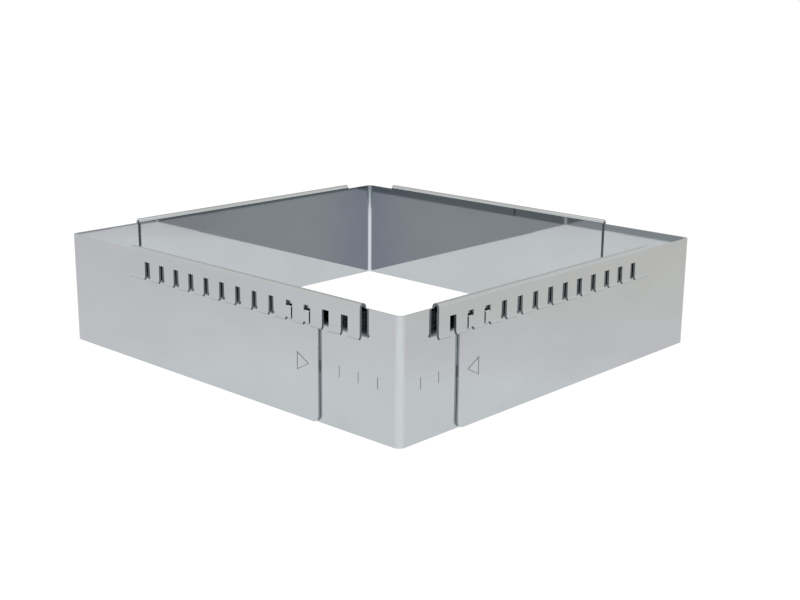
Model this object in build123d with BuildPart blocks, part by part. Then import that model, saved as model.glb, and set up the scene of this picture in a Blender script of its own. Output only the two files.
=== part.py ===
from build123d import *
import os

# An adjustable cake frame: a square ring of four L-shaped pieces, each pressed and bent from one
# stainless sheet. Two inner pieces stand at the front and back corners, and their top edges are
# folded outwards and down into a channel. Two outer pieces stand at the left and right corners,
# and their walls slide in those channels. The folded edge is a comb of slots, open at the bottom,
# and two tabs at each end of an outer piece sit in two neighbouring slots.
#
# Lengths are millimetres. The frame stands on Z = 0 with its middle over the origin. The front
# corner is at (-X, -Y), the right one at (+X, -Y), the left one at (-X, +Y), the back one at (+X, +Y).

# What all four pieces share
sheet = 1.0  # thickness of the steel
wall_play = 0.1  # gap between an inner wall and the outer wall that slides on it
comb_play = 0.3  # gap between that outer wall and the comb in front of it
lift_play = 0.3  # top of that outer wall to where the fold over it starts to turn
wall_height = 50.0
bend_radius = 3.0  # upright corner bend, measured outside

# The inner pieces
inner_leg = 158.4  # outside of the corner to the end of either wall
fold_start = 18.0  # outside of the corner to where the folded edge starts
comb_height = 13.5  # top of the fold down to the comb's lower edge
flare_height = 0.9  # the lowest part of the comb, which leans out to lead a wall in
flare_reach = 0.7  # how far the comb's lower edge leans out
flare_bend = 0.6  # bend where the flare starts, measured at mid thickness

# The slots in the comb
slot_pitch = 10.0
slot_width = 3.6
slot_drop = 5.7  # top of the fold down to the top of a slot
slot_inset = 8.0  # start of the fold to the middle of the first slot
comb_margin = 8.0  # least steel past the middle of the last slot

# The outer pieces
outer_leg = 164.0  # outside of the corner to the end of either wall
end_radius = 3.0  # the rounded lower corner at each end
tab_inset = 4.75  # end of the wall to the middle of the first tab
tab_width = 2.9
tab_seat = 0.1  # gap between a tab and the edge of its slot that it bears on
tab_drop = 5.0  # top edge of the wall to the top of a tab's window
tab_height = 6.6  # height of that window
tab_root = 0.5  # flat stretch at each end of a tab before it slopes out
tab_slope = 0.8  # height of each slope
tab_proud = 0.1  # how far a tab stands out of the comb's face
tab_bend = 0.6  # bends of a tab, measured at mid thickness

# How far the frame is opened, in notches from its smallest size
left_notch_count = 2  # front-left and back-right sides
right_notch_count = 1  # front-right and back-left sides

overrun = 1.0  # how far a cut goes past the steel

# The channel, measured outwards from an inner wall's outer face
outer_face = wall_play + sheet  # outer face of the outer piece that slides in it
comb_inside = outer_face + comb_play

# The fold over it, at mid thickness: a half circle above the outer wall's top edge
wall_line = -sheet / 2
comb_line = comb_inside + sheet / 2
fold_radius = (comb_line - wall_line) / 2
fold_low = wall_height + lift_play
fold_top = fold_low + fold_radius + sheet / 2
comb_low = fold_top - comb_height

# The notches
first_slot = fold_start + slot_inset
slot_count = 1 + int((inner_leg - comb_margin - first_slot) / slot_pitch)
tab_reach = comb_play + sheet + tab_proud  # from the outer wall's outer face to the tab's
tab_shift = slot_width / 2 - tab_seat - tab_width / 2  # a tab's middle past its slot's


def side(notch_count):
    """The frame's size across the inner pieces' outer faces, opened by that many notches."""
    first_tab = first_slot + notch_count * slot_pitch + tab_shift
    return first_tab - tab_inset + outer_leg - outer_face


half_x = side(right_notch_count) / 2
half_y = side(left_notch_count) / 2

# The upright plane through a corner that halves an L-shaped piece
diagonal = Plane(origin=(0, 0, 0), x_dir=(1, 1, 0), z_dir=(1, -1, 0))


def wall_plan(leg):
    """The floor plan of two walls and the bend between them, with outer faces on X = 0 and Y = 0."""
    middle = sheet / 2
    with BuildSketch() as plan:
        with BuildLine():
            FilletPolyline(
                (leg, middle), (middle, middle), (middle, leg), radius=bend_radius - middle
            )
        trace(line_width=sheet)
    return plan.sketch


def wall_section(leg):
    """A plane across the end of the wall that runs along X: its X is outwards and its Y is up."""
    return Plane(origin=(leg, 0, 0), x_dir=(0, -1, 0), z_dir=(-1, 0, 0))


# An inner piece: the wall along X is made in full, then mirrored to the wall along Y
with BuildPart() as inner_piece:
    extrude(wall_plan(inner_leg), amount=wall_height)

    # the top edge, folded over the outer piece's wall, with its flared lower edge
    with BuildSketch(wall_section(inner_leg)):
        with BuildLine():
            Line((wall_line, 0), (wall_line, fold_low))
            fold = JernArc((wall_line, fold_low), (0, 1), fold_radius, -180)
            FilletPolyline(
                fold @ 1,
                (comb_line, comb_low + flare_height),
                (comb_line + flare_reach, comb_low),
                radius=flare_bend,
            )
        trace(line_width=sheet)
    extrude(amount=inner_leg - fold_start)

    # the slots, cut from the channel outwards and open at the comb's lower edge
    comb_middle = first_slot + (slot_count - 1) * slot_pitch / 2
    slot_top = fold_top - slot_drop
    slot_bottom = comb_low - overrun
    with BuildSketch(Plane.XZ.offset(outer_face)):
        with Locations((comb_middle, (slot_top + slot_bottom) / 2)):
            with GridLocations(slot_pitch, slot_pitch, slot_count, 1):
                Rectangle(slot_width, slot_top - slot_bottom)
    extrude(amount=comb_play + sheet + flare_reach + overrun, mode=Mode.SUBTRACT)

    split(bisect_by=diagonal, keep=Keep.TOP)
    mirror(about=diagonal)

# Where the middles of the two tabs are along an outer wall, and a window's edges
tab_places = [outer_leg - tab_inset, outer_leg - tab_inset - slot_pitch]
tab_high = wall_height - tab_drop
tab_low = tab_high - tab_height

# An outer piece, made the same way
with BuildPart() as outer_piece:
    extrude(wall_plan(outer_leg), amount=wall_height)

    # the rounded lower corner at the wall's end
    lower_end = outer_piece.edges().filter_by(Axis.Y).group_by(Axis.X)[-1].sort_by(Axis.Z)[0]
    fillet(lower_end, radius=end_radius)

    # the windows that the tabs are pressed out of
    with BuildSketch(Plane.XZ.offset(overrun)):
        with Locations([(along, (tab_low + tab_high) / 2) for along in tab_places]):
            Rectangle(tab_width, tab_height)
    extrude(amount=-(sheet + 2 * overrun), mode=Mode.SUBTRACT)

    split(bisect_by=diagonal, keep=Keep.TOP)
    mirror(about=diagonal)

# One tab: a strip that bridges out of the wall and back into it
with BuildPart() as tab:
    tab_line = tab_reach - sheet / 2
    with BuildSketch(wall_section(tab_width / 2)):
        with BuildLine():
            FilletPolyline(
                (wall_line, tab_low),
                (wall_line, tab_low + tab_root),
                (tab_line, tab_low + tab_root + tab_slope),
                (tab_line, tab_high - tab_root - tab_slope),
                (wall_line, tab_high - tab_root),
                (wall_line, tab_high),
                radius=tab_bend,
            )
        trace(line_width=sheet)
    extrude(amount=tab_width)

# The two tabs at the end of the wall along X
with BuildPart() as tab_pair:
    with Locations([(along, 0, 0) for along in tab_places]):
        add(tab.part)

os.makedirs("parts", exist_ok=True)

front_place = Location((-half_x, -half_y, 0))
back_place = Location((half_x, half_y, 0), (0, 0, 180))
left_place = Location((-half_x - outer_face, half_y + outer_face, 0), (0, 0, -90))
right_place = Location((half_x + outer_face, -half_y - outer_face, 0), (0, 0, 90))

# What each file holds, and where: an outer piece's wall along X points forwards on the left corner
# and backwards on the right one
tabs_along_x = tab_pair.part
tabs_along_y = tabs_along_x.mirror(diagonal)
pieces = {
    "front_corner_sheet": (inner_piece.part, front_place),
    "back_corner_sheet": (inner_piece.part, back_place),
    "left_corner_sheet": (outer_piece.part, left_place),
    "left_corner_front_tabs": (tabs_along_x, left_place),
    "left_corner_back_tabs": (tabs_along_y, left_place),
    "right_corner_sheet": (outer_piece.part, right_place),
    "right_corner_front_tabs": (tabs_along_y, right_place),
    "right_corner_back_tabs": (tabs_along_x, right_place),
}
for name, (shape, place) in pieces.items():
    with BuildPart() as piece:
        with Locations(place):
            add(shape)
    piece.part.label = name
    export_step(piece.part, f"parts/{name}.step")
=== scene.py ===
# %% [markdown]
# This lesson dresses an adjustable cake frame: four L-shaped corner pieces, each pressed from one
# sheet of bright stainless steel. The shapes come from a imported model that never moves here. What
# Blender adds is what the hand and the eye notice: edges that are not razor sharp, marks stamped
# into the steel, and a finish that mirrors its surroundings as rolled sheet does.

# %% Load the frame
from math import cos, pi, radians, sqrt
import bmesh
import bpy
from mathutils import Matrix, Vector
from mathutils.bvhtree import BVHTree


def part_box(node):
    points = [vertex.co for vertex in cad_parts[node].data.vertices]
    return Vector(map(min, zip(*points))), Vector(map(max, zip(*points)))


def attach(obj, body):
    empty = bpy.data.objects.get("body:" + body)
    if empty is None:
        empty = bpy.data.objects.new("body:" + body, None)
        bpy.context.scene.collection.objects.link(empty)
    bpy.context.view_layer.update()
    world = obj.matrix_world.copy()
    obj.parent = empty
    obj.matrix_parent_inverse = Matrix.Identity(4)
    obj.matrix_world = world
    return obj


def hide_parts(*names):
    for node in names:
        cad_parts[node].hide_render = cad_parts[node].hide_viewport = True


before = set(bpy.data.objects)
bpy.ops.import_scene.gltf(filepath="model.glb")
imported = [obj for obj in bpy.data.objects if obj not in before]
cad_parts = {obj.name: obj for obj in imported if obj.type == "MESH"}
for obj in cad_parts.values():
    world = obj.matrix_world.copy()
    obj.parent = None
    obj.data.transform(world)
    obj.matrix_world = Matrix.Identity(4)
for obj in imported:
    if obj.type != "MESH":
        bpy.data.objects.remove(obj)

scene = bpy.context.scene
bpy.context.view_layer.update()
print("nodes:", sorted(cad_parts))

# %% [markdown]
# The scene is in metres and the drawing of such a part is in millimetres, so one helper turns one
# into the other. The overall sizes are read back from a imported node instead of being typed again:
# that way a change to the model carries over by itself.

# %% Units and the sizes that the finish needs
def mm(length):
    """A length in millimetres, in metres."""
    return length / 1000


def in_mm(length):
    """A length in metres, as millimetres to print."""
    return round(length * 1000, 3)


sheet = mm(1.0)  # thickness of the steel
wall_play = mm(0.1)  # gap between two walls that slide on each other
outer_face = wall_play + sheet  # from an inner wall's outer face to the outer wall's

left_low, left_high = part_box("left_corner_sheet")
wall_height = left_high.z
outer_leg = left_high.x - left_low.x
half_x = -left_low.x - outer_face
half_y = left_high.y - outer_face
print("walls", in_mm(wall_height), "mm high, sides", in_mm(2 * half_x), "by", in_mm(2 * half_y), "mm")

# %% [markdown]
# An object in Blender is a mesh, a lamp or a camera that is linked to the scene. What its modifiers
# make is only worked out for the picture, so it takes one more step to keep it as a plain mesh.
# Both come back all the time, so each gets a helper.

# %% Two helpers that every later step uses
def linked(name, data):
    """A new object in the scene."""
    made = bpy.data.objects.new(name, data)
    scene.collection.objects.link(made)
    return made


def worked_out(thing):
    """A plain mesh of an object with all its modifiers worked out."""
    bpy.context.view_layer.update()
    return bpy.data.meshes.new_from_object(thing.evaluated_get(bpy.context.evaluated_depsgraph_get()))


# %% [markdown]
# The photograph looks down on the front corner at about fifteen degrees. The camera is written as
# a place and three directions, worked out by fitting some fifty straight edges of the frame, and
# its lens is a long one, which is usual for product pictures. A camera in Blender looks along its
# own minus Z, with X to the right and Y up.

# %% Camera
camera_place = Vector((-0.41432, -0.39505, 0.16981))
camera_right = Vector((0.68075136, -0.73245209, 0.00956672))
camera_down = Vector((-0.17981897, -0.17975828, -0.96713603))
camera_forward = Vector((0.7101005, 0.65665889, -0.25407947))
photo_width = 800
focal_pixels = 1267.59
nearest_seen = mm(10)

camera_data = bpy.data.cameras.new("photo_camera")
camera_data.sensor_fit = "HORIZONTAL"
camera_data.lens = focal_pixels / photo_width * camera_data.sensor_width
camera_data.clip_start = nearest_seen
camera = linked("photo_camera", camera_data)
facing = Matrix((camera_right, -camera_down, -camera_forward)).transposed().to_4x4()
camera.matrix_world = Matrix.Translation(camera_place) @ facing
scene.camera = camera
print("lens", round(camera_data.lens, 2), "mm")

# %% [markdown]
# A shader is a net of small nodes, and the sky, the floor and the steel here are made of the same
# few steps again and again: a sum, a soft climb from one value to another, and a mix of two
# colours. Each is a helper that puts the node in and gives back its output.

# %% Helpers for shader nodes
white = (1, 1, 1)


def math_node(nodes, links, operation, *values):
    """One sum or product of sockets and plain numbers."""
    step = nodes.new("ShaderNodeMath")
    step.operation = operation
    for place, value in zip(step.inputs, values):
        if isinstance(value, (int, float)):
            place.default_value = value
        else:
            links.new(value, place)
    return step.outputs[0]


def soft_step(nodes, links, value, low, high, from_value=0.0, to_value=1.0):
    """A smooth climb between two values."""
    ramp = nodes.new("ShaderNodeMapRange")
    ramp.interpolation_type = "SMOOTHSTEP"
    ramp.inputs["From Min"].default_value = low
    ramp.inputs["From Max"].default_value = high
    ramp.inputs["To Min"].default_value = from_value
    ramp.inputs["To Max"].default_value = to_value
    links.new(value, ramp.inputs["Value"])
    return ramp.outputs["Result"]


def mix_colour(nodes, links, share, first, second):
    """The first colour, turning into the second as the share goes from nought to one."""
    mix = nodes.new("ShaderNodeMix")
    mix.data_type = "RGBA"
    links.new(share, mix.inputs["Factor"])
    for name, value in (("A", first), ("B", second)):
        if isinstance(value, tuple):
            mix.inputs[name].default_value = (*value, 1)
        else:
            links.new(value, mix.inputs[name])
    return mix.outputs["Result"]


def tinted(nodes, links, colour, tint):
    """One colour multiplied by another."""
    mix = nodes.new("ShaderNodeMix")
    mix.data_type = "RGBA"
    mix.blend_type = "MULTIPLY"
    mix.inputs["Factor"].default_value = 1.0
    links.new(colour, mix.inputs["A"])
    links.new(tint, mix.inputs["B"])
    return mix.outputs["Result"]


print("helpers:", [step.__name__ for step in (math_node, soft_step, mix_colour, tinted)])

# %% [markdown]
# Bright steel has hardly a colour of its own: it shows what stands around it. So the studio
# matters more than the lamps. The frame stands in an even white surround, which Light Path hands
# to the camera and to reflections only, at a strength of one, which is white. Everything else gets
# a plainer level, so that a colour still renders about as it is written.
#
# Each further bounce of a reflection loses a share of its light, as it does on steel that is a
# little hazy. A light path counts its bounces in Ray Depth, and the sky reads one more there than a
# surface does, so each is told the depth that its first reflection has.

# %% What floor and sky share
bounce_share = 0.83
first_depth_floor = 1.0
first_depth_sky = 2.0


def seen_share(nodes, links, path):
    """A mask of one for camera, glossy and transmission rays, and nought for the rest."""
    share = math_node(nodes, links, "MAXIMUM", path.outputs["Is Camera Ray"], path.outputs["Is Glossy Ray"])
    return math_node(nodes, links, "MAXIMUM", share, path.outputs["Is Transmission Ray"])


def bounce_level(nodes, links, path, first_depth):
    """One at the first reflection, and a share less at each further one."""
    further = math_node(nodes, links, "SUBTRACT", path.outputs["Ray Depth"], first_depth)
    return math_node(nodes, links, "MINIMUM", math_node(nodes, links, "POWER", bounce_share, further), 1.0)


print("each further bounce keeps", bounce_share)

# %% [markdown]
# The rounded top edges of the frame mirror the sky behind it. A soft grey patch there draws the
# thin line along each crest, and a slightly warmer tone overhead keeps the edges from looking blue.
# The camera itself sees plain white.

# %% The sky that the steel mirrors
scene.view_settings.view_transform = "Standard"
patch_toward = Vector((0.613, 0.572, 0.545)).normalized()
patch_edge = radians(37)
patch_core = radians(16)
patch_tone = (0.67, 0.67, 0.65)
overhead_tone = (1.0, 0.972, 0.940)
overhead_low = 0.10  # how far up a direction points, where the warmer tone starts
overhead_high = 0.35

world = bpy.data.worlds.new("white_surround")
scene.world = world
world.use_nodes = True
nodes, links = world.node_tree.nodes, world.node_tree.links
nodes.clear()
path = nodes.new("ShaderNodeLightPath")
direction = nodes.new("ShaderNodeTexCoord").outputs["Generated"]

toward = nodes.new("ShaderNodeVectorMath")
toward.operation = "DOT_PRODUCT"
toward.inputs[1].default_value = patch_toward
links.new(direction, toward.inputs[0])
patch = soft_step(nodes, links, toward.outputs["Value"], cos(patch_edge), cos(patch_core))
upwards = nodes.new("ShaderNodeSeparateXYZ")
links.new(direction, upwards.inputs[0])
overhead = soft_step(nodes, links, upwards.outputs["Z"], overhead_low, overhead_high)
open_sky = mix_colour(nodes, links, overhead, white, overhead_tone)
mirrored_sky = mix_colour(nodes, links, patch, open_sky, patch_tone)
sky_colour = mix_colour(nodes, links, path.outputs["Is Camera Ray"], mirrored_sky, white)
print("a soft grey patch in the sky toward", [round(part, 2) for part in patch_toward])

# %% [markdown]
# A background has one colour and one strength, so the sky is made of two: the white that is seen,
# by the camera or in a mirror, and a weaker one that only fills the shadows. Light Path chooses.

# %% The sky's two levels
fill_level = 0.55

seen = nodes.new("ShaderNodeBackground")
links.new(sky_colour, seen.inputs["Color"])
links.new(bounce_level(nodes, links, path, first_depth_sky), seen.inputs["Strength"])
unseen = nodes.new("ShaderNodeBackground")
unseen.inputs["Color"].default_value = (*white, 1)
unseen.inputs["Strength"].default_value = fill_level
choose = nodes.new("ShaderNodeMixShader")
links.new(seen_share(nodes, links, path), choose.inputs[0])
links.new(unseen.outputs[0], choose.inputs[1])
links.new(seen.outputs[0], choose.inputs[2])
output = nodes.new("ShaderNodeOutputWorld")
links.new(choose.outputs[0], output.inputs["Surface"])
print("level of the fill light:", fill_level)

# %% [markdown]
# The floor is a plain sheet of pale card. Most of its white is the same surround, and a small part
# of it is real diffuse card, which takes the soft contact shadow that keeps the frame on the floor.

# %% The floor's sheet
floor_reach = 6.0  # metres to each side

floor_mesh = bpy.data.meshes.new("studio_floor")
build = bmesh.new()
bmesh.ops.create_grid(build, x_segments=1, y_segments=1, size=floor_reach)
build.to_mesh(floor_mesh)
build.free()
floor = linked("studio_floor", floor_mesh)
card = bpy.data.materials.new("pale_card")
card.use_nodes = True
floor_mesh.materials.append(card)
print("floor", 2 * floor_reach, "m wide")

# %% [markdown]
# The walls mirror this card, and the card isn't evenly lit: away from the middle it grows a shade
# darker, warmer on the right. One colour ramp across the floor says so, from the left of the
# picture to its right, which is along X minus Y.

# %% The card's tones across the floor
ramp_reach = mm(500)
ramp_middle = 0.5
card_tones = (
    (mm(-450), (0.905, 0.865, 0.890)),
    (mm(-330), (0.921, 0.880, 0.902)),
    (mm(-210), (0.962, 0.917, 0.941)),
    (mm(-130), (1.0, 1.0, 1.0)),
    (mm(110), (1.0, 1.0, 1.0)),
    (mm(170), (0.940, 0.892, 0.917)),
    (mm(230), (0.912, 0.868, 0.865)),
    (mm(310), (0.874, 0.842, 0.804)),
    (mm(430), (0.862, 0.826, 0.778)),
)

nodes, links = card.node_tree.nodes, card.node_tree.links
nodes.clear()
path = nodes.new("ShaderNodeLightPath")
apart = nodes.new("ShaderNodeSeparateXYZ")
links.new(nodes.new("ShaderNodeTexCoord").outputs["Object"], apart.inputs[0])
across = math_node(nodes, links, "SUBTRACT", apart.outputs["X"], apart.outputs["Y"])
ramp_share = math_node(nodes, links, "DIVIDE", across, 2 * ramp_reach)
ramp = nodes.new("ShaderNodeValToRGB")
links.new(math_node(nodes, links, "ADD", ramp_share, ramp_middle), ramp.inputs["Fac"])
while len(ramp.color_ramp.elements) < len(card_tones):
    ramp.color_ramp.elements.new(ramp_middle)
for stop, (place_across, tone) in zip(ramp.color_ramp.elements, card_tones):
    stop.position = place_across / (2 * ramp_reach) + ramp_middle
    stop.color = (*tone, 1)
print("tones across the floor:", len(card_tones))

# %% [markdown]
# Where two walls meet, they send a ray back the way it came. There, after two bounces, the floor's glow is
# given a painted reflection: a soft bluish shade near the middle, which stands for the dark front of the
# camera's stand, though no stand is in the scene. Rays that bounced only once don't see it.

# %% The painted shade near the middle
painted_shade_middle = mm(-5)
painted_shade_core = mm(6)
painted_shade_edge = mm(58)
painted_shade_tone = (0.835, 0.830, 0.940)

# A painted reflection: the floor's glow turns bluish and darker near the middle, for second bounces only.
to_painted_shade = math_node(nodes, links, "SUBTRACT", across, painted_shade_middle)
off_middle = math_node(nodes, links, "ABSOLUTE", to_painted_shade)
near_painted_shade = soft_step(nodes, links, off_middle, painted_shade_core, painted_shade_edge, from_value=1.0, to_value=0.0)
further = math_node(nodes, links, "SUBTRACT", path.outputs["Ray Depth"], first_depth_floor)
bounced_again = math_node(nodes, links, "MAXIMUM", math_node(nodes, links, "MINIMUM", further, 1.0), 0.0)
shaded = math_node(nodes, links, "MULTIPLY", near_painted_shade, bounced_again)
shade = mix_colour(nodes, links, shaded, white, painted_shade_tone)
card_tone = tinted(nodes, links, ramp.outputs["Color"], shade)
print("the stand's shade is", in_mm(2 * painted_shade_edge), "mm wide")

# %% [markdown]
# The card is two shaders added together. One glows, and makes the white that is seen. The other is
# paper, which takes light and shadow as any surface does.

# %% The card's shader
floor_level = 0.97
card_share = 0.1

glow = nodes.new("ShaderNodeEmission")
glow_colour = mix_colour(nodes, links, path.outputs["Is Camera Ray"], card_tone, white)
links.new(glow_colour, glow.inputs["Color"])
seen_level = math_node(nodes, links, "MULTIPLY", seen_share(nodes, links, path), floor_level)
bounced_level = bounce_level(nodes, links, path, first_depth_floor)
links.new(math_node(nodes, links, "MULTIPLY", seen_level, bounced_level), glow.inputs["Strength"])
paper = nodes.new("ShaderNodeBsdfDiffuse")
paper.inputs["Color"].default_value = (card_share, card_share, card_share, 1)
both = nodes.new("ShaderNodeAddShader")
links.new(paper.outputs[0], both.inputs[0])
links.new(glow.outputs[0], both.inputs[1])
output = nodes.new("ShaderNodeOutputMaterial")
links.new(both.outputs[0], output.inputs["Surface"])
print("share of real card in the floor:", card_share)

# %% [markdown]
# Two soft lamps shape the steel where it is bent or satin: a broad one overhead, and one beside the
# camera that lights the upright corner. There is none behind the frame, because the rounded top
# edges would mirror it, just where they should show a thin darker line.

# %% Lamps
LAMPS = {  # name: place and size in metres, power in watts
    "overhead_lamp": {"place": (0.1, 0.1, 1.4), "size": 1.2, "power": 5.6},
    "corner_lamp": {"place": (-0.9, -0.85, 0.75), "size": 0.6, "power": 6},
}


def soft_lamp(name, place, size, power):
    """A square area lamp at a place, turned to the middle of the frame."""
    data = bpy.data.lights.new(name, "AREA")
    data.shape = "SQUARE"
    data.size = size
    data.energy = power
    lamp = linked(name, data)
    lamp.location = place
    aim = Vector((0, 0, wall_height / 2)) - Vector(place)
    lamp.rotation_euler = aim.to_track_quat("-Z", "Y").to_euler()


for name, values in LAMPS.items():
    soft_lamp(name, **values)

# %% [markdown]
# Rolled sheet is nearly a mirror, but never a perfect one. The mill leaves a very fine grain along
# the strip, the strip is cloudy in large soft patches, and handling leaves a few hairlines. All
# three are one effect that every finish here needs in its own amount, so they make a node group
# with named sockets: it gives out a colour, a roughness and a height, and the shaders stay outside.
#
# All three are the same kind of noise over Object coordinates. What tells them apart is how far
# the noise is squeezed upwards: hardly for a cloud, and very much for a grain or a hairline, which
# makes it run along the wall.

# %% Node group for rolled steel
CLOUD = {"scale": 34, "detail": 4, "squeeze": 1.6}
GRAIN = {"scale": 60, "detail": 3, "squeeze": 60}
HAIRLINE = {"scale": 26, "detail": 2, "squeeze": 110}
cloud_low = 0.35  # from here to the next value of the noise, a cloud fades in
cloud_high = 0.68
hairline_low = 0.66
hairline_high = 0.78
hairline_height = -0.5  # a hairline lies below the grain


def socket(group, name, kind, direction, value=None):
    """A named socket on a node group."""
    made = group.interface.new_socket(name=name, in_out=direction, socket_type=kind)
    if value is not None:
        made.default_value = value
    return made


def noise(nodes, links, place, scale, detail, squeeze):
    """A noise that a Mapping node squeezes upwards."""
    mapping = nodes.new("ShaderNodeMapping")
    mapping.inputs["Scale"].default_value = (1, 1, squeeze)
    links.new(place, mapping.inputs["Vector"])
    texture = nodes.new("ShaderNodeTexNoise")
    texture.inputs["Scale"].default_value = scale
    texture.inputs["Detail"].default_value = detail
    links.new(mapping.outputs[0], texture.inputs["Vector"])
    return texture.outputs["Fac"]


def rolled_steel_group():
    """Colour, roughness and height of sheet with a horizontal mill grain and soft clouds."""
    group = bpy.data.node_groups.new("rolled_steel", "ShaderNodeTree")
    for name in ("Tone", "Cloud Tone"):
        socket(group, name, "NodeSocketColor", "INPUT", (*white, 1))
    for name in ("Base Roughness", "Cloud Roughness", "Grain Roughness"):
        socket(group, name, "NodeSocketFloat", "INPUT", 0.0)
    socket(group, "Color", "NodeSocketColor", "OUTPUT")
    socket(group, "Roughness", "NodeSocketFloat", "OUTPUT")
    socket(group, "Height", "NodeSocketFloat", "OUTPUT")
    nodes, links = group.nodes, group.links
    given = nodes.new("NodeGroupInput")
    out = nodes.new("NodeGroupOutput")
    place = nodes.new("ShaderNodeTexCoord").outputs["Object"]

    cloud = soft_step(nodes, links, noise(nodes, links, place, **CLOUD), cloud_low, cloud_high)
    grain = noise(nodes, links, place, **GRAIN)
    lines = noise(nodes, links, place, **HAIRLINE)
    hairline = soft_step(nodes, links, lines, hairline_low, hairline_high)

    colour = mix_colour(nodes, links, cloud, given.outputs["Tone"], given.outputs["Cloud Tone"])
    clouded = math_node(nodes, links, "MULTIPLY", cloud, given.outputs["Cloud Roughness"])
    grained = math_node(nodes, links, "MULTIPLY", grain, given.outputs["Grain Roughness"])
    uneven = math_node(nodes, links, "ADD", clouded, grained)
    rough = math_node(nodes, links, "ADD", given.outputs["Base Roughness"], uneven)
    sunk = math_node(nodes, links, "MULTIPLY", hairline, hairline_height)
    links.new(colour, out.inputs["Color"])
    links.new(rough, out.inputs["Roughness"])
    links.new(math_node(nodes, links, "ADD", grain, sunk), out.inputs["Height"])
    return group


rolled_steel = rolled_steel_group()
print("group:", rolled_steel.name, [item.name for item in rolled_steel.interface.items_tree])

# %% [markdown]
# A steel material is one Principled shader with full metal. What is the same all over, such as the
# metal share, is typed on the shader itself. Only what changes over the surface comes from the
# group. The flat sheet is a cool mirror.
#
# Bends get a finish of their own. On the outside of a bend the satin is rougher and the tone is painted
# brighter, a painted highlight. On the inside the steel is a little rougher and the tone is painted
# brighter and cooler, a painted highlight too. Neither starts at a line, so the finish of a bend is the
# flat sheet's, blended into its own by the way the surface faces: X times Y of its normal is nought on each
# wall and a half in the middle of the bend between them.

# %% Steel finishes
grain_height = mm(0.02)


def bend_share(nodes, links):
    """Nought on a flat wall, rising to one in the middle of an upright bend."""
    surface = nodes.new("ShaderNodeNewGeometry")
    apart = nodes.new("ShaderNodeSeparateXYZ")
    links.new(surface.outputs["Normal"], apart.inputs[0])
    product = math_node(nodes, links, "MULTIPLY", apart.outputs["X"], apart.outputs["Y"])
    return math_node(nodes, links, "MULTIPLY", math_node(nodes, links, "ABSOLUTE", product), 2.0)


def steel(name, tone, cloud_tone, roughness, cloud, grain, bump, bend=None):
    """A stainless finish made from the rolled steel group, which may change towards a bend."""
    material = bpy.data.materials.new(name)
    material.use_nodes = True
    nodes, links = material.node_tree.nodes, material.node_tree.links
    shader = nodes["Principled BSDF"]
    shader.inputs["Metallic"].default_value = 1.0
    effect = nodes.new("ShaderNodeGroup")
    effect.node_tree = rolled_steel
    effect.inputs["Tone"].default_value = (*tone, 1)
    effect.inputs["Cloud Tone"].default_value = (*cloud_tone, 1)
    effect.inputs["Base Roughness"].default_value = roughness
    effect.inputs["Cloud Roughness"].default_value = cloud
    effect.inputs["Grain Roughness"].default_value = grain
    if bend:
        # Towards the middle of a bend the tone turns into the bend's painted highlight.
        share = bend_share(nodes, links)
        links.new(mix_colour(nodes, links, share, tone, bend["tone"]), effect.inputs["Tone"])
        links.new(mix_colour(nodes, links, share, cloud_tone, bend["tone"]), effect.inputs["Cloud Tone"])
        rougher = math_node(nodes, links, "MULTIPLY", share, bend["roughness"] - roughness)
        links.new(math_node(nodes, links, "ADD", rougher, roughness), effect.inputs["Base Roughness"])
    links.new(effect.outputs["Color"], shader.inputs["Base Color"])
    links.new(effect.outputs["Roughness"], shader.inputs["Roughness"])
    relief = nodes.new("ShaderNodeBump")
    relief.inputs["Strength"].default_value = bump
    relief.inputs["Distance"].default_value = grain_height
    links.new(effect.outputs["Height"], relief.inputs["Height"])
    links.new(relief.outputs["Normal"], shader.inputs["Normal"])
    return material


FLAT = {
    "tone": (0.490, 0.520, 0.5345),
    "cloud_tone": (0.474, 0.502, 0.515),
    "roughness": 0.02,
    "cloud": 0.01,
    "grain": 0.005,
    "bump": 0.004,
}
# The bends' brighter tones are painted highlights; their rougher satin is real.
OUTER_BEND_PAINTED_HIGHLIGHT = {"tone": (0.568, 0.600, 0.616), "roughness": 0.22}
INNER_BEND_PAINTED_HIGHLIGHT = {"tone": (0.60, 0.645, 0.70), "roughness": 0.10}

bright_sheet = steel("bright_rolled_sheet", **FLAT)
outside_bend = steel("outer_bend_painted_highlight", **FLAT, bend=OUTER_BEND_PAINTED_HIGHLIGHT)
inside_bend = steel("inner_bend_painted_highlight", **FLAT, bend=INNER_BEND_PAINTED_HIGHLIGHT)
print("finishes of the skin:", bright_sheet.name, outside_bend.name, inside_bend.name)

# %% [markdown]
# Cut steel looks different from rolled steel. An edge that the punch tore is dull and dark, an edge
# slit at the mill is paler, and the floor of a stamped line lies between the two.

# %% Finishes of the cut edges and the marks
punched_edge = steel(
    "punched_edge", tone=(0.31, 0.32, 0.33), cloud_tone=(0.25, 0.26, 0.27),
    roughness=0.36, cloud=0.08, grain=0.10, bump=0.2,
)
slit_edge = steel(
    "slit_edge", tone=(0.56, 0.58, 0.59), cloud_tone=(0.50, 0.52, 0.53),
    roughness=0.28, cloud=0.06, grain=0.08, bump=0.2,
)
stamped_line = steel(
    "stamped_line", tone=(0.33, 0.35, 0.36), cloud_tone=(0.28, 0.30, 0.31),
    roughness=0.30, cloud=0.05, grain=0.05, bump=0.1,
)
print("finishes of the cuts:", punched_edge.name, slit_edge.name, stamped_line.name)

# %% [markdown]
# Both walls of each slotted piece carry a scale: short upright lines, one notch apart, that the sliding
# wall's end is read against. The sliding wall covers most of them until the frame is opened. They repeat,
# so Geometry Nodes make them: a row of thin blocks, and the same row turned a quarter for the other wall.
# The blocks are not seen. They are punches, and a Boolean presses them into the sheet, so that the mesh has
# real grooves and not a picture of them. Each block reaches as far out of the steel as into it.

# %% The tree of the scale's punches
QUARTER_TURN = pi / 2


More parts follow.
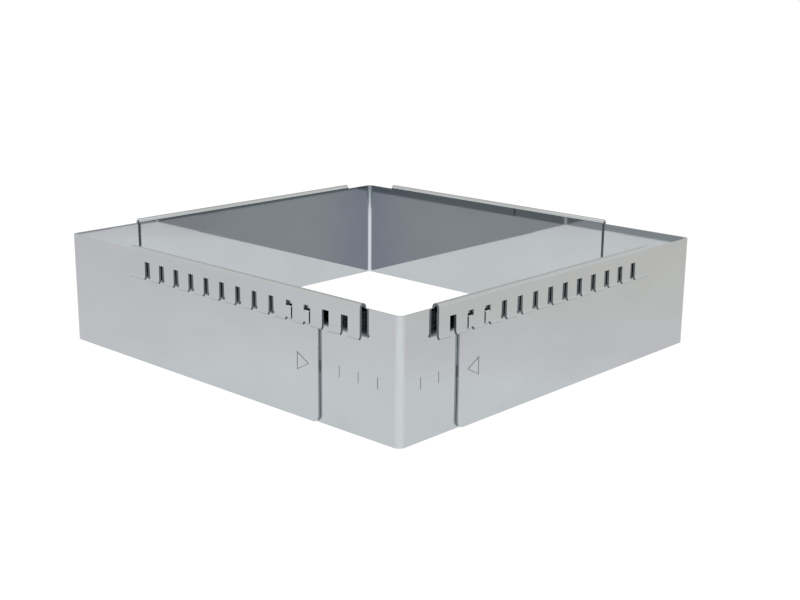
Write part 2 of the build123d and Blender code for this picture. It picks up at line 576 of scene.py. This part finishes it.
def scale_tree():
    """Blocks along two walls that meet at the origin, with their outer faces on X = 0 and Y = 0."""
    tree = bpy.data.node_groups.new("scale_marks", "GeometryNodeTree")
    socket(tree, "Geometry", "NodeSocketGeometry", "INPUT")
    socket(tree, "Count", "NodeSocketInt", "INPUT", 1)
    for name in ("Pitch", "First Mark", "Middle Height", "Width", "Depth", "Height"):
        socket(tree, name, "NodeSocketFloat", "INPUT", mm(1))
    socket(tree, "Finish", "NodeSocketMaterial", "INPUT")
    socket(tree, "Geometry", "NodeSocketGeometry", "OUTPUT")
    nodes, links = tree.nodes, tree.links
    given = nodes.new("NodeGroupInput")
    out = nodes.new("NodeGroupOutput")

    def vector(*parts):
        """Three sockets or numbers as a vector."""
        node = nodes.new("ShaderNodeCombineXYZ")
        for place, value in zip(node.inputs, parts):
            if isinstance(value, float):
                place.default_value = value
            else:
                links.new(value, place)
        return node.outputs[0]

    line = nodes.new("GeometryNodeMeshLine")
    start = vector(given.outputs["First Mark"], 0.0, given.outputs["Middle Height"])
    links.new(given.outputs["Count"], line.inputs["Count"])
    links.new(start, line.inputs["Start Location"])
    links.new(vector(given.outputs["Pitch"], 0.0, 0.0), line.inputs["Offset"])
    block = nodes.new("GeometryNodeMeshCube")
    in_and_out = math_node(nodes, links, "MULTIPLY", given.outputs["Depth"], 2.0)
    block_size = vector(given.outputs["Width"], in_and_out, given.outputs["Height"])
    links.new(block_size, block.inputs["Size"])
    row = nodes.new("GeometryNodeInstanceOnPoints")
    links.new(line.outputs["Mesh"], row.inputs["Points"])
    links.new(block.outputs["Mesh"], row.inputs["Instance"])
    other_row = nodes.new("GeometryNodeTransform")
    other_row.inputs["Rotation"].default_value = (0, 0, QUARTER_TURN)
    links.new(row.outputs["Instances"], other_row.inputs["Geometry"])
    both = nodes.new("GeometryNodeJoinGeometry")
    links.new(row.outputs["Instances"], both.inputs["Geometry"])
    links.new(other_row.outputs["Geometry"], both.inputs["Geometry"])
    real = nodes.new("GeometryNodeRealizeInstances")
    links.new(both.outputs["Geometry"], real.inputs["Geometry"])
    finish = nodes.new("GeometryNodeSetMaterial")
    links.new(real.outputs["Geometry"], finish.inputs["Geometry"])
    links.new(given.outputs["Finish"], finish.inputs["Material"])
    links.new(finish.outputs["Geometry"], out.inputs["Geometry"])
    return tree


marks_tree = scale_tree()
print("tree:", marks_tree.name, "with", len(marks_tree.nodes), "nodes")

# %% The scale's sizes and its mesh
SCALE = {
    "Count": 12,
    "Pitch": mm(10),
    "First Mark": mm(11.1),
    "Middle Height": mm(22.9),
    "Width": mm(0.3),
    "Depth": mm(0.15),
    "Height": mm(4.5),
    "Finish": stamped_line,
}
block_faces = 6


def scale_punches():
    """The tree's result as a plain mesh, in the slotted piece's own corner."""
    holder = linked("scale_holder", bpy.data.meshes.new("scale_holder"))
    modifier = holder.modifiers.new("scale_marks", "NODES")
    modifier.node_group = marks_tree
    for item in marks_tree.interface.items_tree:
        if item.in_out == "INPUT" and item.name in SCALE:
            modifier[item.identifier] = SCALE[item.name]
    holder.update_tag()
    mesh = worked_out(holder)
    bpy.data.objects.remove(holder)
    return mesh


scale_mesh = scale_punches()
print("scale punches:", len(scale_mesh.polygons) // block_faces, "blocks")

# %% [markdown]
# Near each end of a sliding wall a small open triangle points at the scale. It is a line of even
# width round a triangle, so it is drawn as one outline and the same outline moved inwards, and the
# strip between them is given a depth. The distance that a triangle's corner moves is the line's
# width divided by the sine of half the corner's angle, which is what moving each side in parallel
# comes to.

# %% The pointer's punch
pointer_tip = mm(4.7)  # from the wall's end
pointer_base = mm(11.7)
pointer_half = mm(3.8)
pointer_middle = mm(22.8)
line_width = mm(0.42)
line_depth = mm(0.15)


def inset_triangle(corners, width):
    """The triangle whose sides lie that far inside the given one's."""
    inset = []
    for number, corner in enumerate(corners):
        one = (corners[number - 1] - corner).normalized()
        other = (corners[(number + 1) % len(corners)] - corner).normalized()
        halfway = (one + other).normalized()
        half_angle_sine = sqrt((1 - one.dot(other)) / 2)
        inset.append(corner + halfway * (width / half_angle_sine))
    return inset


def pointer_punch(wall_leg):
    """The triangle for the wall along X of a piece whose corner is at the origin."""
    outline = [
        Vector((wall_leg - pointer_tip, 0, pointer_middle)),
        Vector((wall_leg - pointer_base, 0, pointer_middle + pointer_half)),
        Vector((wall_leg - pointer_base, 0, pointer_middle - pointer_half)),
    ]
    rings = [outline, inset_triangle(outline, line_width)]
    deep = Vector((0, line_depth, 0))
    work = bmesh.new()
    near = [[work.verts.new(corner - deep) for corner in ring] for ring in rings]
    far = [[work.verts.new(corner + deep) for corner in ring] for ring in rings]
    for here in range(len(outline)):
        after = (here + 1) % len(outline)
        work.faces.new((near[0][here], near[0][after], near[1][after], near[1][here]))
        work.faces.new((far[0][after], far[0][here], far[1][here], far[1][after]))
        work.faces.new((near[0][after], near[0][here], far[0][here], far[0][after]))
        work.faces.new((near[1][here], near[1][after], far[1][after], far[1][here]))
    bmesh.ops.recalc_face_normals(work, faces=work.faces)
    mesh = bpy.data.meshes.new("pointer_punch")
    work.to_mesh(mesh)
    work.free()
    mesh.materials.append(stamped_line)
    return mesh


pointer_mesh = pointer_punch(outer_leg)
print("pointer line", in_mm(line_width), "mm wide,", len(pointer_mesh.polygons), "faces")

# %% [markdown]
# Each corner piece is one bent sheet, and its solid already has the right shape. What it lacks is
# on its skin: a broken edge, grooves, and a finish that differs between the flat, the bends and the
# cut edges. So each sheet is copied and its loose triangles are merged into clean faces.

# %% Merge a copy
merge_distance = mm(0.001)
flat_angle = radians(0.5)


def merged(node_name):
    """The node's mesh as one closed skin, in a bmesh."""
    work = bmesh.new()
    work.from_mesh(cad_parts[node_name].data)
    for layers in (work.loops.layers.uv, work.loops.layers.float_vector):
        for layer in list(layers.values()):
            layers.remove(layer)
    bmesh.ops.remove_doubles(work, verts=work.verts, dist=merge_distance)
    bmesh.ops.dissolve_limit(work, angle_limit=flat_angle, verts=work.verts, edges=work.edges)
    return work


print("points closer than", in_mm(merge_distance), "mm become one")

# %% [markdown]
# A face is told apart by what is behind it. Behind the skin of a sheet, the other side is one
# thickness away, and behind a cut edge there is far more steel. So a ray goes inwards from a point
# of each face and measures. A face with a slot in it can have its middle outside itself, and the
# middle of its largest triangle never is.

# %% Tell the faces apart
FINISHES = (bright_sheet, outside_bend, inside_bend, punched_edge, slit_edge)
SKIN, OUTSIDE_BEND, INSIDE_BEND, PUNCHED, SLIT = range(len(FINISHES))
just_inside = mm(0.01)
most_skin = sheet * 1.15  # with this much steel behind it or less, a face is the sheet's skin
least_turn = 0.05  # a face whose normal has this much of both X and Y is on an upright bend
upwards_share = 0.9
downwards_share = -0.5
rim_low = wall_height - mm(0.01)
comb_low = mm(38)
foot_high = mm(3.1)  # the rounded lower corners reach nearly this high


def inner_point(work):
    """A point well inside each face: the middle of the largest triangle that it splits into."""
    best = {}
    for loops in work.calc_loop_triangles():
        first, second, third = (loop.vert.co for loop in loops)
        area = (second - first).cross(third - first).length
        if area > best.get(loops[0].face.index, (0,))[0]:
            best[loops[0].face.index] = (area, (first + second + third) / 3)
    return {number: point for number, (_, point) in best.items()}


def skin_finish(face, point):
    """The finish of a face of the sheet's skin: flat, or on one side of an upright bend."""
    if min(abs(face.normal.x), abs(face.normal.y)) <= least_turn:
        return SKIN
    return INSIDE_BEND if face.normal.dot(point) < 0 else OUTSIDE_BEND


def cut_finish(face):
    """The finish of a cut face: slit along the strip's edges, and punched elsewhere."""
    lowest = min(vertex.co.z for vertex in face.verts)
    at_rim = lowest > rim_low and face.normal.z > upwards_share
    under_comb = lowest > comb_low and face.normal.z < downwards_share
    return SLIT if at_rim or under_comb or lowest < foot_high else PUNCHED


def finish_faces(work):
    """Gives each face its finish, by the steel behind it and the way it faces."""
    work.faces.index_update()
    tree = BVHTree.FromBMesh(work)
    points = inner_point(work)
    for face in work.faces:
        point = points[face.index]
        place, *_, behind = tree.ray_cast(point - face.normal * just_inside, -face.normal)
        if place is None or behind < most_skin:
            face.material_index = skin_finish(face, point)
        else:
            face.material_index = cut_finish(face)


print("finishes of a sheet:", [finish.name for finish in FINISHES])

# %% [markdown]
# No real edge is a perfect arris. The long edges are broken by a tenth of a millimetre, and short
# edges inside the little bends are left, because a bevel wider than the bend would fold over
# itself. Where a bevel runs out, the Boolean that presses in the marks can drop a triangle thinner
# than a hair, so such holes are filled again: the mesh stays closed.

# %% Break the edges, close the skin
edge_break = mm(0.1)
bevel_steps = 2
bevel_profile = 0.5  # a round one
sharp_angle = radians(50)
least_edge = mm(2.0)


def break_edges(work):
    """A two-step bevel on each long edge that is a real corner."""
    chosen = []
    for edge in work.edges:
        if edge.calc_face_angle(0) > sharp_angle and edge.calc_length() > least_edge:
            chosen.append(edge)
    bmesh.ops.bevel(
        work, geom=chosen, offset=edge_break, segments=bevel_steps, profile=bevel_profile,
        affect="EDGES", clamp_overlap=False,
    )
    bmesh.ops.remove_doubles(work, verts=work.verts, dist=merge_distance)
    return len(chosen)


def closed(mesh):
    """Fills the triangles that a Boolean dropped, and counts the edges that are still open."""
    work = bmesh.new()
    work.from_mesh(mesh)
    open_edges = [edge for edge in work.edges if edge.is_boundary]
    bmesh.ops.holes_fill(work, edges=open_edges, sides=3)
    still_open = sum(1 for edge in work.edges if not edge.is_manifold)
    work.to_mesh(mesh)
    work.free()
    return still_open


print("edges over", in_mm(least_edge), "mm long are broken by", in_mm(edge_break), "mm")

# %% [markdown]
# The marks are pressed in by Booleans, and then weighted normals keep the broad walls truly flat,
# so that they mirror without ripples, and let only the narrow bevels turn the light.

# %% Dress one piece
full_weight = 100


def press_in(draft, punches):
    """Adds a Boolean for each punch, and gives back the punches' objects."""
    cutters = []
    for number, punch in enumerate(punches):
        cutter = linked(f"{draft.name}_punch_{number}", punch)
        press = draft.modifiers.new(cutter.name, "BOOLEAN")
        press.operation = "DIFFERENCE"
        press.solver = "EXACT"
        press.material_mode = "TRANSFER"
        press.object = cutter
        cutters.append(cutter)
    return cutters


def draft_mesh(node_name, name):
    """A node's mesh with its finishes and broken edges, and how many edges were broken."""
    work = merged(node_name)
    finish_faces(work)
    broken = break_edges(work)
    mesh = bpy.data.meshes.new(name)
    work.to_mesh(mesh)
    work.free()
    for material in FINISHES:
        mesh.materials.append(material)
    for layer in [layer for layer in mesh.attributes if layer.name == "custom_normal"]:
        mesh.attributes.remove(layer)
    return mesh, broken


def dressed(node_name, name, punches=()):
    """A finished copy of a node, with grooves where the punches are."""
    mesh, broken = draft_mesh(node_name, name)
    draft = linked(name + "_draft", mesh)
    cutters = press_in(draft, punches)
    pressed = worked_out(draft)
    still_open = closed(pressed)
    pressed.shade_smooth()
    pressed.set_sharp_from_angle(angle=sharp_angle)
    draft.modifiers.clear()
    draft.data = pressed
    even = draft.modifiers.new("even_walls", "WEIGHTED_NORMAL")
    even.keep_sharp = True
    even.weight = full_weight
    final = worked_out(draft)
    final.name = name
    for helper in [draft, *cutters]:
        bpy.data.objects.remove(helper)
    print(name, "broke", broken, "edges,", still_open, "still open,", len(final.polygons), "faces")
    return linked(name, final)


def placed(mesh, matrix):
    """A copy of a mesh, moved by a matrix."""
    copy = mesh.copy()
    copy.transform(matrix)
    if matrix.determinant() < 0:
        copy.flip_normals()
    return copy


print("weight of a face's size in its corners' normals:", full_weight)

# %% [markdown]
# A punch is made for a piece whose corner is at the origin, and each of the four corners of the
# frame is that corner, turned by quarters and moved. The pointer's punch serves the piece's other
# wall too: a matrix that swaps X and Y mirrors it there, and its faces are turned the right way out
# again.

# %% Dress the four sheets
def corner_place(x, y, quarters):
    """The matrix from a piece's own corner to a corner of the frame."""
    return Matrix.Translation((x, y, 0)) @ Matrix.Rotation(quarters * QUARTER_TURN, 4, "Z")


slotted_corners = {
    "front_corner": corner_place(-half_x, -half_y, 0),
    "back_corner": corner_place(half_x, half_y, 2),
}
sliding_corners = {
    "left_corner": corner_place(-half_x - outer_face, half_y + outer_face, 3),
    "right_corner": corner_place(half_x + outer_face, -half_y - outer_face, 1),
}
other_wall = Matrix(((0, 1, 0, 0), (1, 0, 0, 0), (0, 0, 1, 0), (0, 0, 0, 1)))
sheet_punches = {}
for body, place in slotted_corners.items():
    sheet_punches[body] = [placed(scale_mesh, place)]
for body, place in sliding_corners.items():
    sheet_punches[body] = [placed(pointer_mesh, place), placed(pointer_mesh, place @ other_wall)]

for body, punches in sheet_punches.items():
    piece = dressed(body + "_sheet", body + "_bent_sheet", punches)
    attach(piece, body)
    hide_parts(body + "_sheet")

# %% [markdown]
# The tabs are pressed out of the sliding walls' own steel, so they get the same treatment and the
# same finishes, with no marks. They stay pieces of their own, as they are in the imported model.

# %% Dress the pressed tabs
for body in sliding_corners:
    for end in ("front", "back"):
        node_name = f"{body}_{end}_tabs"
        piece = dressed(node_name, f"{body}_{end}_pressed_tabs")
        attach(piece, body)
        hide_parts(node_name)

# %% [markdown]
# Last, the scene is brought up to date. Steel was only taken away, at the edges and in the marks, so all
# that shows has to lie inside the imported model's own box.

# %% The end
bpy.context.view_layer.update()
